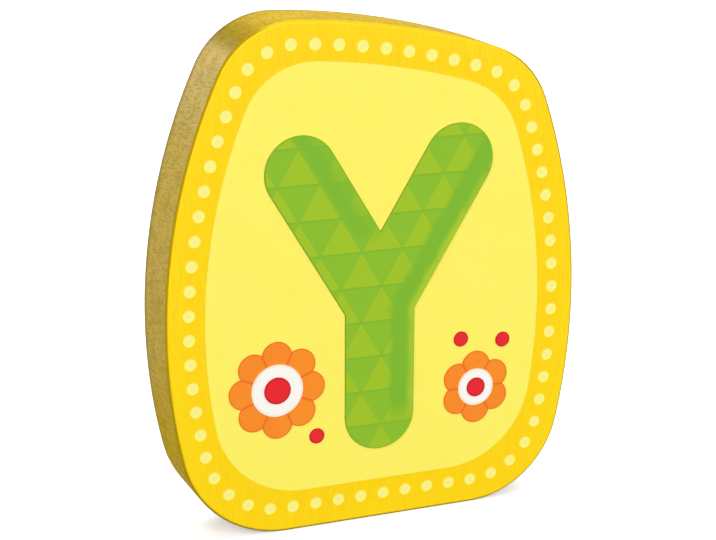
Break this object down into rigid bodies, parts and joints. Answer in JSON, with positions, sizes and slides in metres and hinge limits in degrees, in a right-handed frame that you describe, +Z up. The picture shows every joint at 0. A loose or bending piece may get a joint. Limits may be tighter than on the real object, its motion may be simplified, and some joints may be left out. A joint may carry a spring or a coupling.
{
  "type": "wooden alphabet letter tile",
  "caption": "Freestanding wooden alphabet tile with rounded swelling sides, a flat foot and a printed face: dotted golden border, lemon panel, green letter Y and flowers.",
  "frame": {"origin": "middle of the tile's bounding box, on the surface that its flat foot stands on", "axes": "+Z up along the tile's height, -Y out of the printed face towards the reader, +X to the reader's right"},
  "size_m": [0.06, 0.0102, 0.0706],
  "materials": {
    "wood": "sanded close-grained hardwood, yellow stained, satin",
    "cream_lacquer": "satin toy lacquer",
    "golden_lacquer": "satin toy lacquer, faint wood grain below",
    "lemon_lacquer": "satin toy lacquer",
    "light_green_lacquer": "satin toy lacquer",
    "leaf_green_lacquer": "satin toy lacquer",
    "orange_lacquer": "satin toy lacquer",
    "white_lacquer": "satin toy lacquer",
    "red_lacquer": "satin toy lacquer"
  },
  "bodies": {
    "root": {"board": "wood", "base_coat": "cream_lacquer", "border_band": "golden_lacquer", "centre_panel": "lemon_lacquer", "letter": "light_green_lacquer", "letter_lattice": "leaf_green_lacquer", "left_flower_petals": "orange_lacquer", "left_flower_disc": "white_lacquer", "left_flower_heart": "red_lacquer", "left_berry_1": "red_lacquer", "right_flower_petals": "orange_lacquer", "right_flower_disc": "white_lacquer", "right_flower_heart": "red_lacquer", "right_berry_1": "red_lacquer", "right_berry_2": "red_lacquer"}
  },
  "joints": []
}
